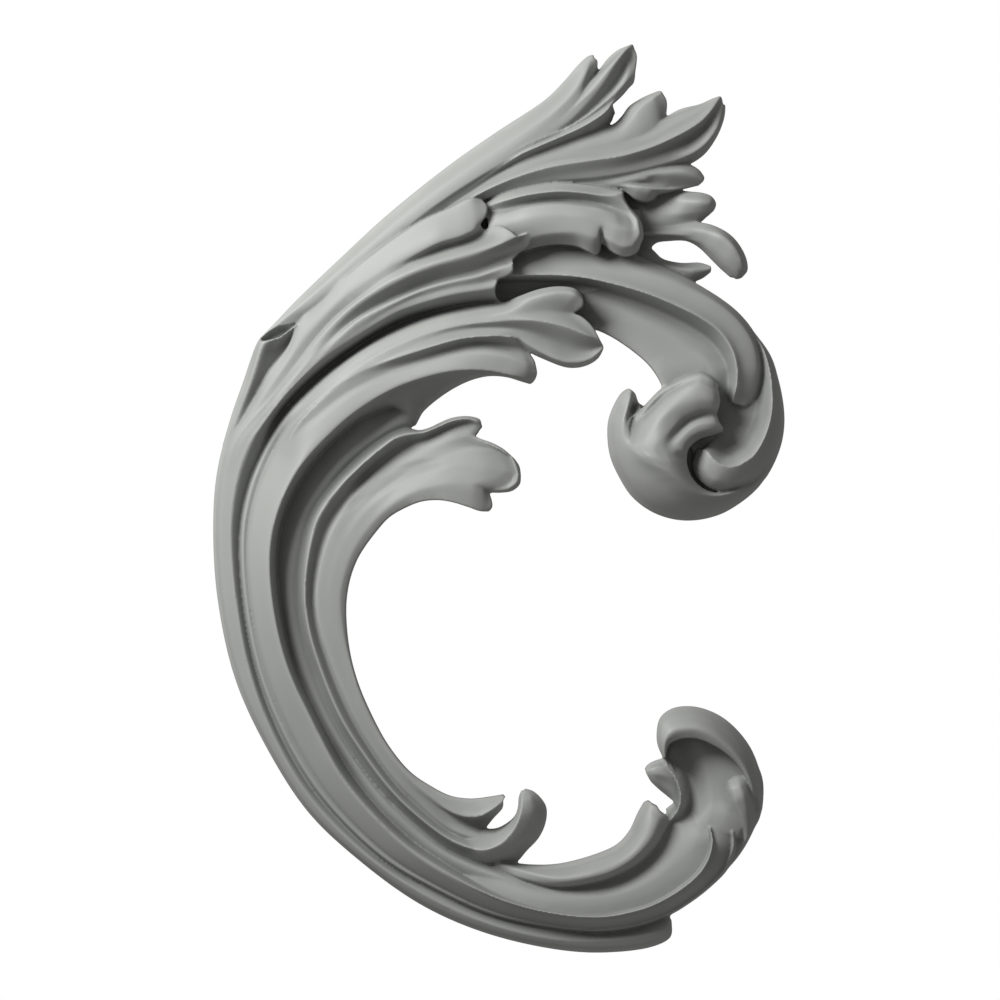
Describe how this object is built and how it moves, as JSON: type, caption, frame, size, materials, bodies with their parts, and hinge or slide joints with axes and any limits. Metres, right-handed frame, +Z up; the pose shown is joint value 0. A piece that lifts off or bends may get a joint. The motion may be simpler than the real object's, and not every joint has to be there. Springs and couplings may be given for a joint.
{
  "type": "acanthus scroll applique",
  "caption": "Flat-backed openwork wall applique: a C-shaped stem of acanthus leaves that curls into a volute above and a hooded curl below.",
  "frame": {"origin": "middle of the pad on the flat back, behind the stem at mid height", "axes": "+Z up along the stem, +Y out of the flat back into the wall, the carving faces -Y, +X towards the open side of the C"},
  "size_m": [0.2265, 0.0314, 0.36],
  "materials": {
    "primed_foam": "matt grey factory primer on rigid polyurethane foam"
  },
  "bodies": {
    "root": {"acanthus_scroll_applique": "primed_foam"}
  },
  "joints": []
}
